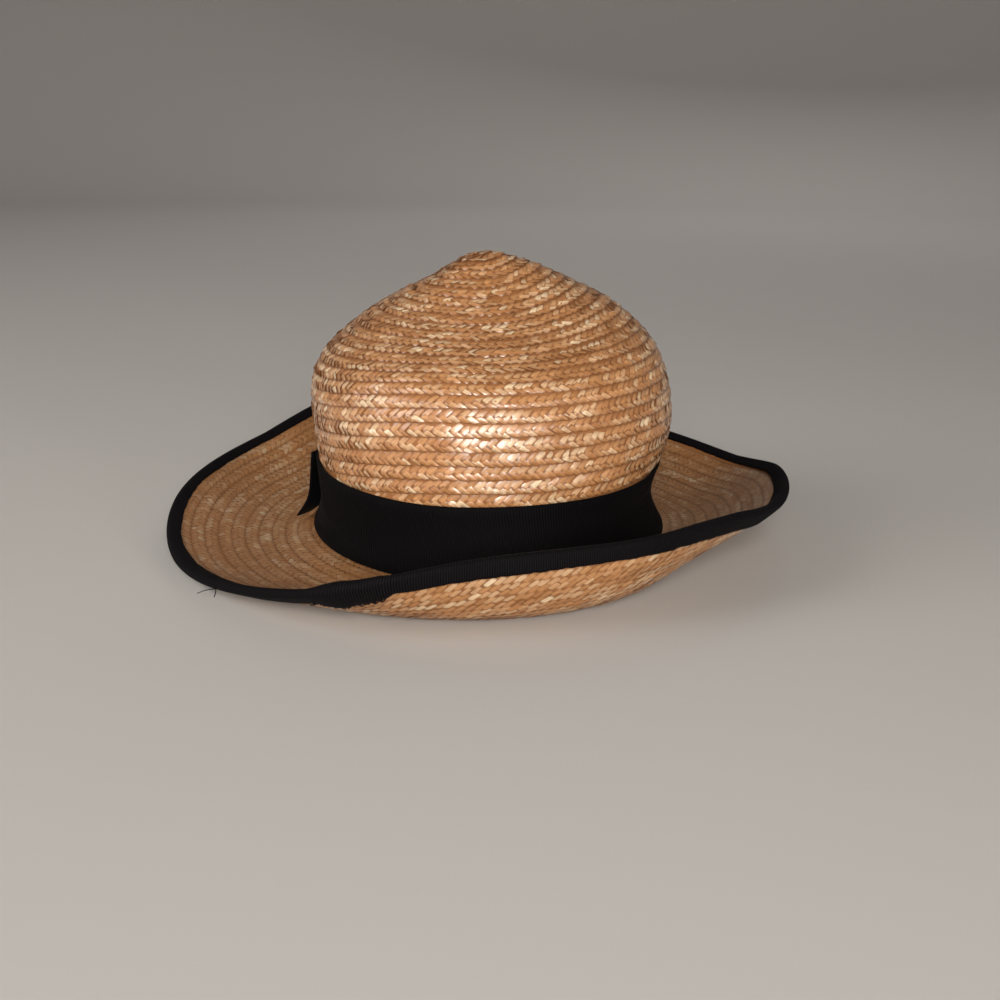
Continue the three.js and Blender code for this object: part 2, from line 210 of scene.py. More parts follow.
def crown_face(distance, azimuth):
    """Outer face of the crown. Radius of the side times sine, of the end times cosine, and a drop
    that blends both by their squares; past the slopes it runs straight to the foot oval."""
    distance, azimuth = np.broadcast_arrays(distance, azimuth)
    across, along = np.sin(azimuth), np.cos(azimuth)
    reach = np.clip(distance, 0, SLOPE_REACH)
    look = {s: [np.interp(reach, SIDE_STEPS, v) for v in SIDES[s]] for s in SIDES}
    side = [np.where(across > 0, r, l) for r, l in zip(look["right"], look["left"])]
    end = [np.where(along > 0, b, f) for b, f in zip(look["back"], look["front"])]
    x, y = TIP[0] + side[0] * across, TIP[1] - end[0] * along
    z = TIP[2] - end[1] * along**2 - side[1] * across**2
    point = np.stack([x, y, z], -1)
    share = np.clip((distance - SLOPE_REACH) / LOWER_WALL, 0, 1)
    x, y = FOOT_HALF[0] * across, -FOOT_HALF[1] * along
    foot = np.stack([x, y, np.full_like(x, FOOT_HEIGHT)], -1)
    waist = np.where(along > 0, WAIST["back"], WAIST["front"]) * along**2
    waist = waist + np.where(across > 0, WAIST["right"], WAIST["left"]) * across**2
    point = point + (foot - point) * share[..., None]
    point = point - oval_out(FOOT_HALF, azimuth) * (waist * np.sin(np.pi * share))[..., None]
    return point + AXIS


def crown_off(distance, azimuth, lift):
    """Point lifted off the crown's outer face along its normal, the cross product of its tangents."""
    distance = np.maximum(distance, LEAST_DISTANCE)
    down = crown_face(distance + STEP_DOWN, azimuth) - crown_face(distance - STEP_DOWN, azimuth)
    turn = crown_face(distance, azimuth + STEP_ROUND) - crown_face(distance, azimuth - STEP_ROUND)
    normal = unit(np.cross(down, turn))
    return crown_face(distance, azimuth) + normal * np.asarray(lift)[..., None]


def crown_wall(height, azimuth, offset):
    """Point of the crown's wall at a height, found by halving, pushed out level by an offset."""
    height, azimuth = np.broadcast_arrays(np.asarray(height, float), azimuth)
    low = np.full(height.shape, WALL_FROM)
    high = np.full(height.shape, SLOPE_REACH + LOWER_WALL)
    for _ in range(HALVINGS):
        middle = (low + high) / 2
        above = crown_face(middle, azimuth)[..., 2] > height
        low, high = np.where(above, middle, low), np.where(above, high, middle)
    out = oval_out(FOOT_HALF, azimuth) * np.asarray(offset)[..., None]
    return crown_face(low, azimuth) + out


def closed_curve(values, azimuth):
    """Smooth closed curve round the hat through even values: a cubic through four neighbours."""
    values = np.asarray(values, float)
    place = np.mod(azimuth, TURN) / TURN * SECTIONS
    i = np.floor(place).astype(int)
    t = place - i
    a, b, c, d = (values[(i + k) % len(values)] for k in (-1, 0, 1, 2))
    return b + 0.5 * t * (c - a + t * (2 * a - 5 * b + 4 * c - d + t * (3 * (b - c) + d - a)))


def brim_table():
    """Middle surface of the brim: the tilt dips to the seat, then rises as a power of the run past
    the start of the curl; reach and height are the running sums of its cosine and sine."""
    azimuth = np.arange(BRIM_TURNS) * TURN / BRIM_TURNS
    start = closed_curve(CURL_FROM, azimuth)[:, None]
    edge = np.radians(closed_curve(EDGE_TILT, azimuth))[:, None]
    width = closed_curve(BRIM_WIDTH, azimuth)[:, None]
    step = width / BRIM_STEPS
    fall = ROOT_RISE * np.clip((start - SEAT_WIDTH) / SEAT_BLEND, 0, 1)
    length = np.maximum(start - SEAT_WIDTH, LEAST_FALL)

    def tilt(run):
        dip = np.arcsin(fall * np.pi / 2 / length * np.sin(np.pi * run / length))
        curl = np.clip((run - start) / (width - start), 0, 1) ** CURL_POWER
        return np.where(run < length, -dip, 0) + edge * curl

    middle = tilt((np.arange(BRIM_STEPS) + 0.5) * step)
    height = running(np.sin(middle) * step) + ROOT_RISE + STRAW_WALL / 2
    return running(np.cos(middle) * step), height, tilt(np.arange(BRIM_STEPS + 1) * step)


BRIM = brim_table()


def brim_width(azimuth):
    """Width of the brim along its section at an azimuth."""
    return closed_curve(BRIM_WIDTH, azimuth)


def brim_off(run, azimuth, lift):
    """Point of the brim at a run from the crown, lifted off its middle surface along the normal of
    its section; a run past the edge goes straight on."""
    run, azimuth, lift = np.broadcast_arrays(run, azimuth, np.asarray(lift, float))
    place = np.mod(azimuth, TURN) / TURN * BRIM_TURNS
    row = np.floor(place).astype(int)
    share = place - row
    rows = row % BRIM_TURNS, (row + 1) % BRIM_TURNS
    width = brim_width(azimuth)
    step = np.clip(run / width, 0, 1) * BRIM_STEPS
    column = np.minimum(np.floor(step).astype(int), BRIM_STEPS - 1)
    part = step - column

    def look(table):
        near, far = (table[r, column] * (1 - part) + table[r, column + 1] * part for r in rows)
        return near + (far - near) * share

    reach, height, tilt = (look(table) for table in BRIM)
    beyond = np.maximum(run - width, 0)
    reach = reach + beyond * np.cos(tilt) - lift * np.sin(tilt)
    height = height + beyond * np.sin(tilt) + lift * np.cos(tilt)
    point = oval_out(ROOT_HALF, azimuth) * reach[..., None]
    point[..., 0] += ROOT_HALF[0] * np.sin(azimuth)
    point[..., 1] -= ROOT_HALF[1] * np.cos(azimuth)
    point[..., 2] = height
    return point + AXIS


# ---------------------------------------------------------------- mesh helpers


def put_mesh(name, points, loops, starts, material, uv=None, strand=None, smooth=True):
    """Mesh object from points in millimetres and corner lists, on body root; where only some faces
    are smooth, the edges of the others are sharp."""
    mesh = bpy.data.meshes.new(name)
    mesh.vertices.add(len(points))
    mesh.vertices.foreach_set("co", (points * MM).astype(np.float32).ravel())
    mesh.loops.add(len(loops))
    mesh.polygons.add(len(starts))
    mesh.polygons.foreach_set("loop_start", starts.astype(np.int32))
    mesh.polygons.foreach_set("vertices", loops.astype(np.int32))
    mesh.update(calc_edges=True)
    smooth = np.broadcast_to(smooth, len(starts)).copy()
    mesh.polygons.foreach_set("use_smooth", smooth)
    if not smooth.all():
        edges = np.empty(len(loops), np.int32)
        mesh.loops.foreach_get("edge_index", edges)
        sharp = np.zeros(len(mesh.edges), bool)
        sharp[edges[np.repeat(~smooth, np.diff(np.append(starts, len(loops))))]] = True
        mesh.edges.foreach_set("use_edge_sharp", sharp)
    if uv is not None:
        layer = mesh.uv_layers.new(name="grain")
        layer.data.foreach_set("uv", uv[loops].astype(np.float32).ravel())
    if strand is not None:
        colours = np.concatenate([strand, np.ones((len(strand), 1))], 1)
        layer = mesh.attributes.new("strand", "FLOAT_COLOR", "POINT")
        layer.data.foreach_set("color", colours.astype(np.float32).ravel())
    mesh.materials.append(material)
    piece = bpy.data.objects.new(name, mesh)
    bpy.context.scene.collection.objects.link(piece)
    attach(piece, "root")
    return piece


def grid_quads(rows, columns, wrap_rows=False, wrap_columns=False):
    """Corner indices of the quads of a grid of points, one row of four each."""
    i = np.arange(rows if wrap_rows else rows - 1)[:, None]
    j = np.arange(columns if wrap_columns else columns - 1)[None, :]
    i2, j2 = (i + 1) % rows, (j + 1) % columns
    corners = [i * columns + j, i * columns + j2, i2 * columns + j2, i2 * columns + j]
    return np.stack([np.broadcast_to(c, (i.size, j.size)) for c in corners], -1).reshape(-1, 4)


def put_quads(name, points, quads, material, uv=None, caps=()):
    """Piece of quads and end caps; they are turned so that the enclosed volume is positive."""
    flat = points.reshape(-1, 3)
    a, b, c, d = flat[quads.T]
    volume = np.einsum("ij,ij->", a, np.cross(b, c)) + np.einsum("ij,ij->", a, np.cross(c, d))
    turn = 1 if volume > 0 else -1
    faces = [quads[:, ::turn].ravel(), *(cap[::turn] for cap in caps)]
    sizes = np.concatenate([np.full(len(quads), 4), [len(cap) for cap in caps]])
    starts = running(sizes)[:-1]
    uv = None if uv is None else uv.reshape(-1, 2)
    return put_mesh(name, flat, np.concatenate(faces), starts, material, uv)


def strip_ends(rows):
    """Corner lists of the caps at both ends of a strip of rows by columns that closes on itself."""
    count, columns = rows.shape[:2]
    order = np.arange(count)
    return [order * columns, (order[::-1] + 1) * columns - 1]


def put_strip(name, outer, inner, material, uv):
    """Closed strip between two faces of rows by columns: joined at the edges, capped at both ends."""
    rows = np.concatenate([outer, inner[::-1]])
    quads = grid_quads(*rows.shape[:2], True, False)
    return put_quads(name, rows, quads, material, np.concatenate([uv, uv[::-1]]), strip_ends(rows))


def pairs(u, v):
    """Texture places from two arrays whose shapes fit together."""
    return np.stack(np.broadcast_arrays(u, v), -1)


def put_threads(name, paths, radius, material):
    """Round threads along paths of points: rings of points across the path, capped at both ends."""
    count, size = paths.shape[:2]
    sides = np.arange(THREAD_SIDES)
    along = unit(np.gradient(paths, axis=1))
    side = unit(np.cross(along, SKEW))
    lift = np.cross(along, side)
    turn = sides * TURN / THREAD_SIDES
    ring = side[:, :, None] * np.cos(turn)[:, None] + lift[:, :, None] * np.sin(turn)[:, None]
    points = paths[:, :, None] + radius * ring
    shift = np.arange(count)[:, None] * size * THREAD_SIDES
    quads = grid_quads(size, THREAD_SIDES, False, True) + shift[:, :, None]
    first = sides[::-1] + shift
    last = sides + shift + (size - 1) * THREAD_SIDES
    place = np.broadcast_to(0.8 * np.arange(size)[:, None], points.shape[:3])
    uv = pairs(place, turn)
    return put_quads(name, points, quads.reshape(-1, 4), material, uv, [*first, *last])


# ---------------------------------------------------------------- plaited straw

# One crossing of a strand is a closed flat pillow: a top of 4 by 4 points and a point under it. Places
# along and across it, how far its face falls there, and how much painted shade it gets there, in the
# creases at its ends and sides
ALONG = np.array([-1.2, -0.75, 0.75, 1.2])[None, :, None]
FALL_ALONG = np.array([0.22, 0.0, 0.0, 0.22])[None, :, None]
PAINTED_SHADE_ALONG = np.array([1.1, 0.0, 0.0, 1.1])[None, :, None]
ACROSS = np.array([-1.0, -0.66, 0.66, 1.0])[None, None, :]
FALL_ACROSS = np.array([1.6, 0.2, 0.2, 1.6])[None, None, :]
PAINTED_SHADE_ACROSS = np.array([1.0, 0.0, 0.0, 1.0])[None, None, :]
RING = np.array([0, 1, 2, 3, 7, 11, 15, 14, 13, 12, 8, 4])
INNER = np.array([5, 6, 9, 10])

# Runs of crossings in a row, on its front and back: middle and step in row widths, way of the strand,
# shift in pitches
FRONT = ((0.15, 0.3, 1, 0.0), (0.68, 0.24, -1, 0.0))
BACK = ((0.25, 0.21, -1, 0.0), (0.75, 0.21, -1, 0.5))

# Points that measure a spiral, least length of its turns, share of a row that leans neither way, share
# past which strands are pressed in under the next row, and depth of a pillow
SPIRAL_POINTS = 80000
LEAST_TURN = 14
LEVEL = 0.55
PRESSED_FROM = 0.88
PILLOW_DEPTH = 0.6
TOP_POINTS = 16

# Size of a strand, its spread, its narrowing at the ends on the back; spreads of its place across and
# along the row, and wander of the row; tilt across it; drop at the row's edge; tint and its spreads
SIZE, SIZE_SPREAD, END_TAPER = 1.13, 0.06, 0.16
SHIFT_ACROSS, SHIFT_ALONG, WANDER = 0.14, 0.25, 0.2
TILT = 0.07
EDGE_DROP, EDGE_FROM, EDGE_FADE = 0.45, 0.8, 0.15
TINT, TINT_DRIFT, TINT_SPREAD = 0.48, 0.18, 0.2


def pillow_corners(count, inward):
    """Corner list, face starts and smooth faces of many pillows: each has nine quads above, which are
    smooth, and twelve triangles below."""
    top = grid_quads(4, 4)
    below = np.stack([RING, np.roll(RING, -1), np.full(len(RING), TOP_POINTS)], 1)
    if inward:
        below = below[:, ::-1]
    else:
        top = top[:, ::-1]
    one = np.concatenate([top.ravel(), below.ravel()])
    starts = np.concatenate([np.arange(len(top)) * 4, top.size + np.arange(len(below)) * 3])
    smooth = np.tile(np.arange(len(starts)) < len(top), count)
    shift = np.arange(count)[:, None]
    return (one + shift * (TOP_POINTS + 1)).ravel(), (starts + shift * one.size).ravel(), smooth


def plait(name, face, spiral, keep, material, seed, inward=False, loft=1.0):
    """Plaited straw sewn in a spiral: strands sit at even arc lengths along a spiral whose distance
    grows by one row each turn. Each row has two runs of crossings, lozenges that slant one way and
    the other with their ends locked together, or both the same way on the inward back of the plait.
    A row leans so that its outer edge stands proud of the next; its creases and edges get painted shade.
    Loft is under one in straw pressed flat."""
    straw = bpy.context.scene.hat_straw
    row, pitch = straw.row_width / MM, straw.strand_pitch / MM
    relief, uneven = straw.relief / MM * loft, straw.unevenness * loft
    rng = np.random.default_rng(seed)
    turns = np.linspace(spiral[0] / row, spiral[1] / row, SPIRAL_POINTS)
    line = face(turns * row + row / 2, turns * TURN, np.zeros_like(turns))
    steps = np.linalg.norm(np.diff(line, axis=0), axis=1)
    arc = running(steps)
    count = int(arc[-1] / pitch)
    at = (np.arange(count) + 0.5) * pitch
    turn = np.interp(at, arc, turns)
    per_turn = np.interp(at, (arc[1:] + arc[:-1]) / 2, steps / np.diff(turns))
    kept = keep(turn * row + row / 2, turn * TURN)
    turn, per_turn = turn[kept], np.maximum(per_turn[kept], LEAST_TURN)
    count = len(turn)

    def rand(spread):
        return rng.normal(0, spread, (count, 1, 1)).clip(-2.2 * spread, 2.2 * spread)

    def drift(spread, run):
        knots = rng.normal(0, spread, count // run + 3)
        return np.interp(np.arange(count) / run, np.arange(len(knots)), knots)[:, None, None]

    a, b = ACROSS, ALONG
    wander = drift(WANDER, 11)
    soft = 0.5 + 0.5 * loft
    points, strands, uvs = [], [], []
    for middle, step, way, shift in BACK if inward else FRONT:
        size = (SIZE + rand(SIZE_SPREAD)) * (1 - (END_TAPER if inward else 0) * np.abs(b) ** 3)
        y = middle * row + rand(SHIFT_ACROSS) - (way * b + 0.5 * a * size) * step * row
        x = (b - 0.5 * way * a * size) * 0.5 * pitch + shift * pitch + rand(SHIFT_ALONG)
        lean = LEVEL * np.ones_like(y)
        if not inward:
            y = np.minimum(y, PRESSED_FROM * row + 0.3 * (y - PRESSED_FROM * row))
            lean = y / row
        lift = (lean - LEVEL) * straw.lean / MM * loft
        lift = lift - FALL_ALONG * loft - FALL_ACROSS * relief
        lift = lift - EDGE_DROP * loft * ((lean - EDGE_FROM) / EDGE_FADE).clip(0, 1) ** 2
        lift = lift + TILT * loft * a + (rand(0.1 * uneven) + drift(0.08 * uneven, 4)) * a
        lift = lift + (rand(0.08 * uneven) + drift(0.08 * uneven, 5)) * b + rand(0.05 * uneven)
        x, y, lift = (v.reshape(count, TOP_POINTS) for v in np.broadcast_arrays(x, y, lift))
        under = [v[:, INNER].mean(1, keepdims=True) for v in (x, y, lift)]
        under[2] -= PILLOW_DEPTH
        x, y, lift = (np.concatenate(v, 1) for v in zip((x, y, lift), under))
        lift = -lift if inward else lift
        where = turn[:, None] + x / per_turn[:, None]
        points.append(face(where * row + y + wander[:, :, 0], where * TURN, lift))
        tint = (TINT + soft * (drift(TINT_DRIFT, 3) + rand(TINT_SPREAD))).clip(0, 1)
        hue = rng.random((count, 1, 1))
        # Painted shade share: at the strand's ends and sides, in the creases between strands; at the top
        # of the row, a painted shadow under the edge of the row above; and along the row's own proud
        # edge
        painted_shade = (PAINTED_SHADE_ACROSS + PAINTED_SHADE_ALONG) * (0.4 + rng.random((count, 1, 1)))
        painted_shade = painted_shade + 1.2 * ((0.06 - lean) / 0.12).clip(0, 1)
        painted_shade = painted_shade + 1.3 * ((lean - 0.85) / 0.08).clip(0, 1)
        grain = [0.3 * pitch * a + 40 * hue, 0.3 * pitch * b + 60 * tint]
        parts = np.broadcast_arrays(tint, painted_shade * (0.7 + 0.3 * loft), hue, *grain)
        parts = np.stack(parts, -1).reshape(count, TOP_POINTS, -1)
        parts = np.concatenate([parts, parts[:, 5:6]], 1)
        strands.append(parts[..., :3])
        uvs.append(parts[..., 3:])
    points, strands, uvs = (np.concatenate(v) for v in (points, strands, uvs))
    loops, starts, smooth = pillow_corners(len(points), inward)
    points, strands, uvs = points.reshape(-1, 3), strands.reshape(-1, 3), uvs.reshape(-1, 2) * 0.1
    return put_mesh(name, points, loops, starts, material, uvs, strands, smooth)


# ---------------------------------------------------------------- materials

# How much finer the straw's streaks are across a strand than along it, and what every group gives
STREAKS = (52, 5, 1)
RESULTS = {"Colour": "NodeSocketColor", "Roughness": "NodeSocketFloat", "Height": "NodeSocketFloat"}


def new_group(name, *colours):
    """Shader node group with colours in and a colour, a roughness and a height out; sockets in it."""
    tree = bpy.data.node_groups.new(name, "ShaderNodeTree")
    for label in colours:
        tree.interface.new_socket(label, in_out="INPUT", socket_type="NodeSocketColor")
    for label, kind in RESULTS.items():
        tree.interface.new_socket(label, in_out="OUTPUT", socket_type=kind)
    return tree, *tree.nodes.new("NodeGroupInput").outputs[: len(colours)]


def end_group(tree, *results):
    """Links the colour, the roughness and the height to the group's output node."""
    end = tree.nodes.new("NodeGroupOutput")
    for label, result in zip(RESULTS, results):
        tree.links.new(result, end.inputs[label])
    return tree


def node(tree, kind, links=None, **values):
    """Node with its fields set, and its inputs linked or set by name or number."""
    made = tree.nodes.new(kind)
    for key, value in values.items():
        setattr(made, key, value)
    for key, value in (links or {}).items():
        if isinstance(value, bpy.types.NodeSocket):
            tree.links.new(value, made.inputs[key])
        else:
            made.inputs[key].default_value = value
    return made


def mix(tree, share, first, second, blend="MIX"):
    """Colour mix of two colours by a share; returns the result's socket."""
    links = {0: share, 6: first, 7: second}
    return node(tree, "ShaderNodeMix", links, data_type="RGBA", blend_type=blend).outputs[2]


def maths(tree, operation, *values, clamp=False):
    """Result of a maths node on sockets or numbers."""
    links = dict(enumerate(values))
    return node(tree, "ShaderNodeMath", links, operation=operation, use_clamp=clamp).outputs[0]


def noise(tree, scale, detail, place=None):
    """Value of a noise, between nought and one, at a place or in the object's own space."""
    if place is None:
        place = node(tree, "ShaderNodeTexCoord").outputs["Object"]
    links = {0: place, "Scale": scale, "Detail": detail}
    return node(tree, "ShaderNodeTexNoise", links).outputs[0]


def stretch(tree, value, low, high, least=0.0, most=1.0):
    """Value carried from one range to another and kept inside it."""
    links = {0: value, 1: low, 2: high, 3: least, 4: most}
    return node(tree, "ShaderNodeMapRange", links).outputs[0]


def straw_group():
    """Straw strand: tint by strand, fine streaks along it, painted shade at its rims, slow patches."""
    tree, pale, middle, deep, gap = new_group("straw strand", "Pale", "Middle", "Deep", "Gap")
    strand = node(tree, "ShaderNodeAttribute", attribute_name="strand")
    parts = node(tree, "ShaderNodeSeparateColor", {0: strand.outputs["Color"]})
    tint, rim, hue = parts.outputs[:3]
    grain = node(tree, "ShaderNodeUVMap", uv_map="grain")
    grain = node(tree, "ShaderNodeMapping", {0: grain.outputs[0], 3: STREAKS})
    streak = noise(tree, 1.0, 3.0, grain.outputs[0])
    tone = maths(tree, "MULTIPLY_ADD", noise(tree, 22.0, 2.0), 0.5, -0.25)
    tone = maths(tree, "ADD", tone, tint, clamp=True)
    colour = mix(tree, stretch(tree, tone, 0.0, 0.5), deep, middle)
    colour = mix(tree, stretch(tree, tone, 0.5, 1.0), colour, pale)
    fleck = stretch(tree, streak, 0.32, 0.7, 0.66, 1.16)
    colour = mix(tree, 1.0, colour, fleck, "MULTIPLY")
    # Painted shade: the rim share mixes the strand towards the gap colour, standing for the shade in the
    # creases and under the rows' edges
    painted_shade_share = maths(tree, "MULTIPLY", rim, 0.9, clamp=True)
    colour = mix(tree, painted_shade_share, colour, gap)
    rough = maths(tree, "MULTIPLY_ADD", streak, 0.2, 0.2)
    rough = maths(tree, "MULTIPLY_ADD", hue, 0.14, rough)
    return end_group(tree, colour, rough, streak)


def ribbon_group():
    """Ribbon weave: fine warp threads across the ribs and slow dusty patches."""
    tree, dark, dusty = new_group("ribbon weave", "Dark", "Worn")
    grain = node(tree, "ShaderNodeUVMap", uv_map="grain")
    parts = node(tree, "ShaderNodeSeparateXYZ", {0: grain.outputs[0]})
    rib, warp = parts.outputs[:2]
    ridge = maths(tree, "COSINE", maths(tree, "MULTIPLY_ADD", rib, TURN, np.pi))
    thread = maths(tree, "SINE", maths(tree, "MULTIPLY", warp, TURN))
    weave = maths(tree, "MULTIPLY", thread, maths(tree, "MULTIPLY_ADD", ridge, 0.35, 0.65))
    speck = noise(tree, 0.9, 2.0, grain.outputs[0])
    worn = maths(tree, "MULTIPLY", maths(tree, "MULTIPLY_ADD", ridge, 0.6, 0.5), speck)
    worn = maths(tree, "MULTIPLY_ADD", noise(tree, 30.0, 3.0), 0.2, worn, clamp=True)
    colour = mix(tree, worn, dark, dusty)
    rough = maths(tree, "MULTIPLY_ADD", speck, 0.2, 0.5)
    return end_group(tree, colour, rough, weave)


def shared_group(name, build):
    """Node group by name, built once."""
    return bpy.data.node_groups.get(name) or build()


def blank_material(name):
    """New material, its node tree and its shader node."""
    material = bpy.data.materials.new(name)
    material.use_nodes = True
    tree = material.node_tree
    return material, tree, next(n for n in tree.nodes if n.type == "BSDF_PRINCIPLED")


def new_material(name, group, settings, shade, bump, distance, sockets):
    """Material of one shader fed by a group's colour, roughness and height. The group's colours are
    the settings of the same names, darkened by a shade."""
    if name in bpy.data.materials:
        return bpy.data.materials[name]
    material, tree, shader = blank_material(name)
    effect = node(tree, "ShaderNodeGroup", node_tree=group)
    for socket in effect.inputs:
        tone = getattr(settings, socket.name.lower())
        socket.default_value = (*(c * shade for c in tone), 1)
    relief = {"Height": effect.outputs["Height"], "Distance": distance, "Strength": bump}
    relief = node(tree, "ShaderNodeBump", relief)
    tree.links.new(effect.outputs["Colour"], shader.inputs["Base Color"])
    tree.links.new(effect.outputs["Roughness"], shader.inputs["Roughness"])
    tree.links.new(relief.outputs[0], shader.inputs["Normal"])
    for key, value in sockets.items():
        shader.inputs[key].default_value = value
    return material


def straw_material(name="plaited straw", shade=1.0, gloss=0.6):
    """Satin straw in the straw settings' colours, darkened by a shade and with its own gloss."""
    straw = bpy.context.scene.hat_straw
    group = shared_group("straw strand", straw_group)
    look = {"Specular IOR Level": 0.25 + 0.9 * gloss, "Coat Weight": gloss, "Coat Roughness": 0.22}
    return new_material(name, group, straw, shade, 0.35, 0.0002, look)


def backing_group():
    """Painted shade between the strands: the gap colour mottled with deep straw by two noises."""
    tree, gap, deep = new_group("straw backing", "Gap", "Deep")
    fine = noise(tree, 900.0, 3.0)
    share = maths(tree, "MULTIPLY", fine, noise(tree, 60.0, 2.0))
    colour = mix(tree, share, gap, deep)
    return end_group(tree, colour, maths(tree, "MULTIPLY_ADD", fine, 0.3, 0.55), fine)


def backing_material():
    """Inner straw that shows between the strands: deep straw mixed with painted shade."""
    straw = bpy.context.scene.hat_straw
    group = shared_group("straw backing", backing_group)
    look = {"Specular IOR Level": 0.3}
    return new_material("straw backing", group, straw, 1.0, 0.4, 0.0002, look)


# Painted shade: the ribbon of the band and bow is the binding's ribbon darkened to 0.6, standing for the
# lower light on the band
def ribbon_material(name="band ribbon", shade=0.6):
    """Black ribbed ribbon with a little sheen, darkened by a shade."""
    ribbon = bpy.context.scene.hat_ribbon
    group = shared_group("ribbon weave", ribbon_group)
    look = {"Specular IOR Level": 0.04, "Sheen Weight": 0.01, "Sheen Roughness": 0.4}
    return new_material(name, group, ribbon, shade, 0.5, 0.00008, look)


# ---------------------------------------------------------------- settings


def number(name, text, value, **more):
    """Number setting that isn't below nought."""
    return bpy.props.FloatProperty(name=name, description=text, default=value, min=0, **more)


def length(name, text, value):
    """Length setting in metres."""
    return number(name, text, value, unit="LENGTH", precision=5)


def colour(name, text, value):
    """Colour setting, linear."""
    return bpy.props.FloatVectorProperty(
        name=name, description=text, default=value, min=0, max=1, size=3, subtype="COLOR"
    )


def power(name, text, value):
    """Power setting of a light, in watts."""
    return number(name, text, value, subtype="POWER")


class HatStraw(bpy.types.PropertyGroup):
    """Sizes and colours of the plaited straw."""

    row_width: length("Row width", "Visible width of one sewn row", 0.006)
    strand_pitch: length("Strand pitch", "Distance between strands along a row", 0.00385)
    relief: length("Relief", "How far a strand swells over its row", 0.00008)
    lean: length("Lean", "How far a row's outer edge stands proud", 0.0009)
    unevenness: number("Unevenness", "Spread of the strands' tilt", 1.6, max=3)
    pale: colour("Pale", "Palest strands", (0.97, 0.73, 0.47))
    middle: colour("Middle", "Most strands", (0.65, 0.322, 0.134))
    deep: colour("Deep", "Deepest strands", (0.5, 0.216, 0.076))
    # Gap is the colour of painted shade, mixed into the strands' creases and row edges and into the
    # backing
    gap: colour("Gap", "Straw in the gaps", (0.25, 0.1, 0.034))


class HatRibbon(bpy.types.PropertyGroup):
    """Sizes and colours of the ribbons."""

    band_rib: length("Band rib", "Distance between the ribs of the band", 0.0012)
    binding_rib: length("Binding rib", "Distance between the ribs of the binding", 0.001)
    rib_depth: length("Rib depth", "Height of a rib", 0.00026)
    dark: colour("Dark", "Ribbon in the grooves", (0.0012, 0.0009, 0.0012))
    worn: colour("Worn", "Ribbon on the ribs", (0.0125, 0.0105, 0.0125))


class HatStage(bpy.types.PropertyGroup):
    """Floor and lights."""

    floor: colour("Floor", "Colour of the floor", (0.565, 0.538, 0.513))
    key_power: power("Key", "Power of the key light", 8.2)
    fill_power: power("Fill", "Power of the light from the left", 14.0)
    side_power: power("Side", "Power of the low light from the right", 3.2)
    back_power: power("Back", "Power of the soft light from the front of the hat", 7.0)
    sky: number("Sky", "Strength of the even light all round", 0.06)


# ---------------------------------------------------------------- pieces


class HAT_OT_crown(bpy.types.Operator):
    """Crown: a thin backing shell with plaited rows outside and inside"""

    bl_idname = "hat.crown"
    bl_label = "Crown"

    def execute(self, context):
        end = SLOPE_REACH + LOWER_WALL
        distance = np.concatenate([[LEAST_DISTANCE], np.arange(3, end + 0.1, 3)])[:, None]
        azimuth = np.arange(CROWN_COLUMNS) * TURN / CROWN_COLUMNS
        outer, inner = (crown_off(distance, azimuth, lift) for lift in CROWN_BACKING)
        inner[-1] = outer[-1] - 0.35 * oval_out(FOOT_HALF, azimuth)
        tips = [np.broadcast_to(part[0].mean(0), (1, CROWN_COLUMNS, 3)) for part in (outer, inner)]
        rows = np.concatenate([tips[0], outer, inner[::-1], tips[1]])
        quads = grid_quads(*rows.shape[:2], False, True)
        shell = put_quads("crown_backing", rows, quads, backing_material())
        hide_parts("crown")

        def outer_face(s, az, lift):
            below = (TUCK_FROM - crown_face(s, az)[..., 2]) / TUCK_FADE
            return crown_off(s, az, lift - TUCK * np.clip(below, 0, 1))

        def above_band(s, az):
            return crown_face(s, az)[..., 2] > LOWEST_STRAND

        outside = plait("crown_plait", outer_face, CROWN_SPIRAL, above_band, straw_material(), 11)
        inside = plait(
            "crown_inner_plait",
            lambda s, az, lift: crown_off(s, az, lift + INNER_FACE),
            INNER_SPIRAL,
            lambda s, az: s < INNER_END,
            straw_material("inner straw", 0.92),
            12,
            inward=True,
        )
        return {"FINISHED"}


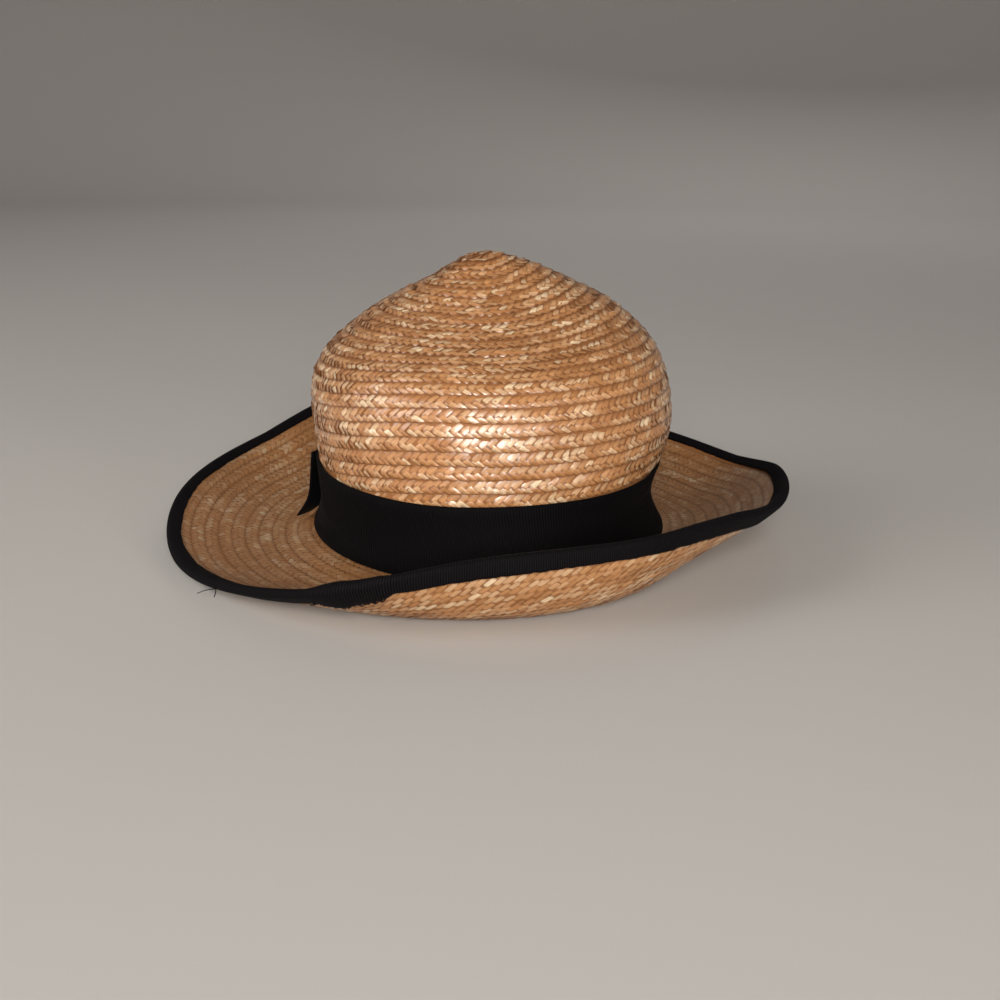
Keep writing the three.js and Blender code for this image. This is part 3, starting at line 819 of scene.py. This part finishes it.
class HAT_OT_brim(bpy.types.Operator):
    """Brim: a thin backing shell with plaited rows above and below"""

    bl_idname = "hat.brim"
    bl_label = "Brim"

    def execute(self, context):
        azimuth = np.arange(BRIM_COLUMNS) * TURN / BRIM_COLUMNS
        run = np.linspace(0, 1, BRIM_ROWS)[:, None] * (brim_width(azimuth) - 0.2)
        upper, under = (brim_off(run, azimuth, lift) for lift in BRIM_BACKING)
        rows = np.concatenate([upper, under[::-1]])
        quads = grid_quads(*rows.shape[:2], True, True)
        shell = put_quads("brim_backing", rows, quads, backing_material())
        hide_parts("brim")

        def run_at(s, az, last):
            s = np.where(s < ROOT_RUN, ROOT_RUN + 0.2 * (s - ROOT_RUN), s)
            s = np.where(s > last, last + 0.15 * (s - last), s)
            return s * (brim_width(az) / MEAN_WIDTH)

        def top(s, az, lift):
            return brim_off(run_at(s, az, TOP_END), az, lift + TOP_FACE)

        def below(s, az, lift):
            return brim_off(run_at(s, az, UNDER_END), az, np.maximum(lift + UNDER_FACE, UNDER_LOWEST))

        def shown(s, az):
            return (s > SHOWN_RUN[0]) & (s < SHOWN_RUN[1])

        # Painted shade: the brim's straw is the crown's straw darkened, to 0.66 on top and 0.74 below,
        # standing for the lower light on the brim
        straw = straw_material("pressed straw", 0.66, 0.1)
        piece = plait("brim_top_plait", top, TOP_SPIRAL, shown, straw, 21, loft=0.12)
        straw = straw_material("under straw", 0.74, 0.15)
        piece = plait("brim_under_plait", below, UNDER_SPIRAL, shown, straw, 22, True, 0.5)
        return {"FINISHED"}


def even_azimuths(half, pitch):
    """Azimuths at even arc lengths round an oval, for a whole number of ribs, and places in ribs."""
    dense = np.linspace(0, TURN, 20001)
    step = np.hypot(half[0] * np.cos(dense), half[1] * np.sin(dense))
    arc = running((step[1:] + step[:-1]) / 2 * dense[1])
    ribs = int(round(arc[-1] / pitch))
    place = np.arange(ribs * PER_RIB) / PER_RIB
    return np.interp(place / ribs * arc[-1], arc, dense), place


def rib_height(place):
    """Height of the ribs at a place counted in ribs: the root of a sine's size."""
    depth = bpy.context.scene.hat_ribbon.rib_depth / MM
    return depth * np.sqrt(np.abs(np.sin(np.pi * place)))


class HAT_OT_band(bpy.types.Operator):
    """Band: ribbon round the foot of the crown with upright ribs"""

    bl_idname = "hat.band"
    bl_label = "Band"

    def execute(self, context):
        azimuth, place = even_azimuths(FOOT_HALF, context.scene.hat_ribbon.band_rib / MM)
        height, swell = np.array([BAND_HEIGHTS, BAND_SWELL])[:, :, None]
        wave = 0.12 * np.sin(3 * azimuth + 1) + 0.08 * np.sin(7 * azimuth)
        height = height + wave * np.linspace(0, 1, len(height))[:, None]
        outer = crown_wall(height, azimuth, BAND_OFF + swell + rib_height(place))
        inner = crown_wall(height[::-4], azimuth, BAND_OFF)
        rows = np.concatenate([outer, inner])
        uv = pairs(place, rows[..., 2] * THREADS)
        quads = grid_quads(*rows.shape[:2], True, True)
        piece = put_quads("ribbon_band", rows, quads, ribbon_material(), uv)
        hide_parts("band")
        return {"FINISHED"}


def folded_ribbon(name, azimuth, place, top_leg, under_leg, near, thick, closed):
    """Ribbon folded round the rim: along the top, round the edge in a half circle, back along the
    under side, then the inner face the other way, with ribs across it."""
    far = near + thick
    turn = np.linspace(np.pi / 2, -np.pi / 2, 9)
    round_run = [-0.75 + (far + 0.1) * c for c in np.cos(turn)]
    round_lift = [far * c for c in np.sin(turn)]
    under = [-0.5 * under_leg, -0.75 * under_leg, 0.25 - under_leg, -under_leg]
    back = [-under_leg, -0.5 * under_leg, -1.0, 0.3, 0.3, -1.0, -0.5 * top_leg, -top_leg]
    run = [-top_leg, 0.25 - top_leg, -0.6 * top_leg, -1.6, *round_run, *under, *back]
    back = [-near, -near, -near, -0.5 * near, 0.5 * near, near, near, near]
    low = near + 0.3 * thick
    lift = [low, far, far, far, *round_lift, -far, -far, -far, -low, *back]
    run, lift = (np.stack([np.broadcast_to(v, azimuth.shape) for v in part]) for part in (run, lift))
    flat = np.zeros(4)
    out_run = np.concatenate([flat, np.cos(turn), flat, np.zeros(8)])
    out_lift = np.concatenate([[0.3, 1, 1, 1], np.sin(turn), [-1, -1, -1, -0.3], np.zeros(8)])
    rib = rib_height(place)
    run = run + brim_width(azimuth) + out_run[:, None] * rib
    rows = brim_off(run, azimuth, lift + out_lift[:, None] * rib)
    along = np.cumsum(np.hypot(*np.diff([run[:, 0], lift[:, 0]], prepend=0, axis=1)))
    uv = pairs(place, along[:, None] * THREADS)
    quads = grid_quads(*rows.shape[:2], True, closed)
    ends = () if closed else strip_ends(rows)
    piece = put_quads(name, rows, quads, ribbon_material("binding ribbon", 1.0), uv, ends)
    return piece


def ragged(count, run, spread, seed):
    """Small uneven shifts, one each, that change over a run of neighbours."""
    knots = np.random.default_rng(seed).normal(0, spread, count // run + 3)
    shifts = np.interp(np.arange(count) / run, np.arange(len(knots)), knots)
    return shifts.clip(-2 * spread, 2 * spread)


class HAT_OT_binding(bpy.types.Operator):
    """Binding: ribbon folded round the rim, its lapped end, the stitches there and loose thread"""

    bl_idname = "hat.binding"
    bl_label = "Rim binding"

    def execute(self, context):
        azimuth, place = even_azimuths(RIM_HALF, context.scene.hat_ribbon.binding_rib / MM)
        size = len(azimuth)
        leg = closed_curve(UNDER_LEG, azimuth) + ragged(size, 9, 0.16, 31)
        top = closed_curve(TOP_LEG, azimuth) + ragged(size, 11, 0.1, 34) + ragged(size, 60, 0.25, 35)
        piece = folded_ribbon("rim_binding", azimuth, place, top, leg, BINDING_NEAR, BINDING_THICK, True)
        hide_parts("brim_binding")

        start, end = LAP_AZIMUTH
        inside = (azimuth >= start) & (azimuth <= end)
        azimuth, place = azimuth[inside], place[inside]
        part = (azimuth - start) / (end - start)
        leg = LAP_UNDER_LEG * np.interp(part, *LAP_SHAPE) + ragged(len(azimuth), 2, 0.42, 32)
        press = np.clip(np.minimum(part, 1 - part) / 0.17, 0, 1)
        bump = np.exp(-(((part - 0.36) / 0.16) ** 2))
        top = TOP_LEG[0] - 0.4 + ragged(len(azimuth), 9, 0.15, 36)
        near, thick = LAP_NEAR + 0.3 * press, 0.08 + (0.5 + 0.8 * bump) * press
        piece = folded_ribbon("lapped_end", azimuth, place, top, leg, near, thick, False)
        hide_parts("binding_lap")

        at = np.linspace(0.02, 0.86, STITCHES)
        spot = start + (end - start) * (at + ragged(STITCHES, 1, 0.012, 33))
        edge = brim_width(spot) - np.interp(spot, azimuth, leg)
        run = edge[:, None] + np.array([0.9, 0.2, -0.35, -0.8, -1.0])
        lean = spot[:, None] + np.array([0, 0.1, 0.3, 0.5, 0.55]) / 150
        paths = brim_off(run, lean, np.array([-2.85, -3.05, -2.5, -1.5, -0.8]))
        piece = put_threads("lap_stitches", paths, 0.24, ribbon_material("binding ribbon", 1.0))

        root = brim_off(brim_width(THREAD_AZIMUTH) - 0.4, THREAD_AZIMUTH, -2.0)
        reach = np.linspace(0, 1, 7)[:, None]
        ends = [np.array([-7.4, -1.4, -1.6]), np.array([-0.4, -2.2, -2.9])]
        bend = [np.array([0.0, -0.3, 0.5]), np.array([0.2, 0.1, 0.0])]
        paths = np.stack([root + e * reach + b * np.sin(np.pi * reach) for e, b in zip(ends, bend)])
        piece = put_threads("loose_thread", paths, 0.2, ribbon_material("binding ribbon", 1.0))
        return {"FINISHED"}


def bow_azimuth(length):
    """Azimuth at a length along the band from the bow, counted towards the front."""
    return BOW_AZIMUTH - length / BOW_RADIUS


class HAT_OT_bow(bpy.types.Operator):
    """Bow: the upright wrap, the flat loop and the free tail with its slanting cut"""

    bl_idname = "hat.bow"
    bl_label = "Bow"

    def execute(self, context):
        pitch = context.scene.hat_ribbon.band_rib / MM
        first = KNOT_WIDTH / 2 + 0.3

        # Wrap: ribs level, edges turned down, two soft folds
        v = np.linspace(0, 1, 102)[None]
        u = np.linspace(-1, 1, 13)[:, None]
        rib = rib_height(KNOT_RIBS * v)
        swell = 2.3 * (1 - 0.5 * u**4 - 0.15 * (2 * v - 1) ** 6) - 0.2 * np.cos(3 * np.pi * u) + rib
        height, turn = KNOT_FOOT + KNOT_HEIGHT * v, bow_azimuth(KNOT_WIDTH / 2 * u)
        outer = crown_wall(height, turn, BAND_FACE + 0.1 + swell)
        inner = crown_wall(height, turn, BAND_FACE + 0.1)
        uv = pairs(KNOT_RIBS * v, 13 * u)
        piece = put_strip("bow_wrap", outer, inner, ribbon_material(), uv)
        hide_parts("bow_knot")

        # Loop: out along the band, a tight turn, and back over itself with a little slack
        steps = np.linspace(first, first + LOOP_LENGTH - 1, LOOP_STEPS)
        turn = np.linspace(-np.pi / 2, np.pi / 2, 11)[1:-1]
        slack = 0.35 * np.sin(np.pi * np.linspace(0, 1, LOOP_STEPS)) ** 2
        flat = np.zeros(LOOP_STEPS)
        length = np.concatenate([steps, steps[-1] + 0.8 * np.cos(turn), steps[::-1]])
        off = np.concatenate([flat + LOOP_OFF, 1.25 + 0.8 * np.sin(turn), 2.05 + slack])
        out = np.concatenate([flat - 1, np.sin(turn), flat + 1])
        tip = np.concatenate([flat, np.cos(turn), flat])
        v = np.linspace(0, 1, 9)[:, None]
        height = LOOP_FOOT + LOOP_HEIGHT * v
        step = np.hypot(np.diff(length, prepend=first), np.diff(off, prepend=LOOP_OFF))
        place = np.cumsum(step) / pitch

        def loop_face(thick):
            spread = BAND_FACE + off + out * thick
            return crown_wall(height, bow_azimuth(length + tip * thick), spread)

        uv = pairs(place, height * THREADS)
        outer, inner = loop_face(0.12 + rib_height(place)), loop_face(-0.25)
        piece = put_strip("bow_flat_loop", outer, inner, ribbon_material(), uv)
        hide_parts("bow_loop")

        # Tail: from the wrap towards the back, standing off most at the lower corner of its cut
        u = np.linspace(0, 1, 78)[None]
        v = np.linspace(0, 1, 13)[:, None]
        foot, top = BAND_FOOT - 0.2 * u, TAIL_TOP + 3.2 * u
        height = foot + (top - foot) * v
        stand = BAND_FACE + 0.2 + (1.6 + 5.8 * (1 - v)) * u**2.5
        place = u * TAIL_LENGTH / pitch
        turn = bow_azimuth(-first - TAIL_LENGTH * u)
        outer = crown_wall(height, turn, stand + 0.75 + rib_height(place))
        inner = crown_wall(height, turn, stand + 0.1)
        uv = pairs(place, height * THREADS)
        piece = put_strip("bow_free_tail", outer, inner, ribbon_material(), uv)
        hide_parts("bow_tail")
        return {"FINISHED"}


def put_turned(name, data, right, up, back, spot):
    """Object with its axes along three directions, at a spot in metres."""
    turned = np.eye(4)
    turned[:3] = np.stack([right, up, back, spot], 1)
    made = bpy.data.objects.new(name, data)
    made.matrix_world = Matrix(turned.tolist())
    bpy.context.scene.collection.objects.link(made)
    return made


def put_light(name, spot, aim, size, watts, tone, spread=180, shine=True):
    """Round area light at a spot, aimed at another; without shine it makes no glints."""
    light = bpy.data.lights.new(name, "AREA")
    light.shape, light.size, light.spread = "DISK", size, np.radians(spread)
    light.energy, light.color = watts, tone
    back = unit(np.subtract(spot, aim))
    right = unit(np.cross([0, 0, 1], back))
    put_turned(name, light, right, np.cross(back, right), back, spot).visible_glossy = shine


class HAT_OT_stage(bpy.types.Operator):
    """Floor, soft lights and camera"""

    bl_idname = "hat.stage"
    bl_label = "Stage"

    def execute(self, context):
        stage = context.scene.hat_stage
        turn = np.arange(FLOOR_COLUMNS) * TURN / FLOOR_COLUMNS
        bend = np.linspace(0, np.pi / 2, 13)
        wall = FLOOR_FLAT + FLOOR_BEND
        radius = np.concatenate([[0, 300, 900], FLOOR_FLAT + FLOOR_BEND * np.sin(bend), [wall]])
        rise = np.concatenate([[0, 0, 0], FLOOR_BEND * (1 - np.cos(bend)), [FLOOR_TOP]])
        radius, rise = radius[:, None], rise[:, None]
        rows = np.broadcast_arrays(radius * np.sin(turn), radius * np.cos(turn), rise)
        rows = np.stack(rows, -1)
        floor_material, _, shader = blank_material("floor")
        shader.inputs["Base Color"].default_value = (*stage.floor, 1)
        shader.inputs["Roughness"].default_value = 0.9
        shader.inputs["Specular IOR Level"].default_value = 0.1
        quads = grid_quads(*rows.shape[:2], False, True)
        mesh = bpy.data.meshes.new("floor")
        mesh.from_pydata((rows.reshape(-1, 3) * MM).tolist(), [], quads[:, ::-1].tolist())
        mesh.materials.append(floor_material)
        mesh.shade_smooth()
        floor = bpy.data.objects.new("floor", mesh)
        context.scene.collection.objects.link(floor)

        warm, mild, pale = (1.0, 0.96, 0.9), (1.0, 0.97, 0.93), (1.0, 0.98, 0.96)
        put_light("key", (0.08, -1.7, 0.64), (0, 0, 0.06), 0.8, stage.key_power, warm, 90)
        put_light("fill", (-1.5, -0.5, 0.9), (0, 0, 0.0), 1.2, stage.fill_power, pale)
        put_light("side", (1.0, -1.3, 0.35), (0, 0, 0.06), 0.2, stage.side_power, mild)
        put_light("back", (0.5, 1.8, 1.2), (0, 0, 0.05), 1.6, stage.back_power, pale, shine=False)
        world = bpy.data.worlds.new("even light")
        world.use_nodes = True
        sky = next(n for n in world.node_tree.nodes if n.type == "BACKGROUND")
        sky.inputs["Color"].default_value = (0.96, 0.97, 1.0, 1)
        sky.inputs["Strength"].default_value = stage.sky
        context.scene.world = world
        context.scene.view_settings.view_transform = "Standard"

        lens = bpy.data.cameras.new("camera")
        lens.lens = LENS
        lens.sensor_width = SENSOR
        lens.clip_start, lens.clip_end = 0.01, 50
        level = np.array([1.0, 0, 0])
        steep = np.array([0, np.sin(CAMERA_PITCH), np.cos(CAMERA_PITCH)])
        right = np.cos(CAMERA_ROLL) * level + np.sin(CAMERA_ROLL) * steep
        up = np.cos(CAMERA_ROLL) * steep - np.sin(CAMERA_ROLL) * level
        back = np.cross(level, steep)
        context.scene.camera = put_turned("camera", lens, right, up, back, CAMERA_PLACE)
        return {"FINISHED"}


class HAT_PT_pieces(bpy.types.Panel):
    """Sidebar list of the hat's pieces and settings"""

    bl_idname = "HAT_PT_pieces"
    bl_label = "Straw hat"
    bl_space_type = "VIEW_3D"
    bl_region_type = "UI"
    bl_category = "Hat"

    def draw(self, context):
        for operator in OPERATORS:
            self.layout.operator(operator.bl_idname)
        for name, settings in SETTINGS.items():
            box = self.layout.box()
            for key in settings.__annotations__:
                box.prop(getattr(context.scene, name), key)


SETTINGS = {"hat_straw": HatStraw, "hat_ribbon": HatRibbon, "hat_stage": HatStage}
OPERATORS = (HAT_OT_crown, HAT_OT_brim, HAT_OT_band, HAT_OT_bow, HAT_OT_binding, HAT_OT_stage)
CLASSES = (*SETTINGS.values(), *OPERATORS, HAT_PT_pieces)


def register():
    """Registers the settings, the operators and the panel."""
    for made in CLASSES:
        bpy.utils.register_class(made)
    for name, made in SETTINGS.items():
        setattr(bpy.types.Scene, name, bpy.props.PointerProperty(type=made))


def unregister():
    """Takes them out again, last first."""
    for name in SETTINGS:
        delattr(bpy.types.Scene, name)
    for made in reversed(CLASSES):
        bpy.utils.unregister_class(made)


def main():
    """Builds every piece and the stage."""
    register()
    bpy.ops.hat.stage()
    bpy.ops.hat.crown()
    bpy.ops.hat.brim()
    bpy.ops.hat.band()
    bpy.ops.hat.bow()
    bpy.ops.hat.binding()


if __name__ == "__main__":
    main()
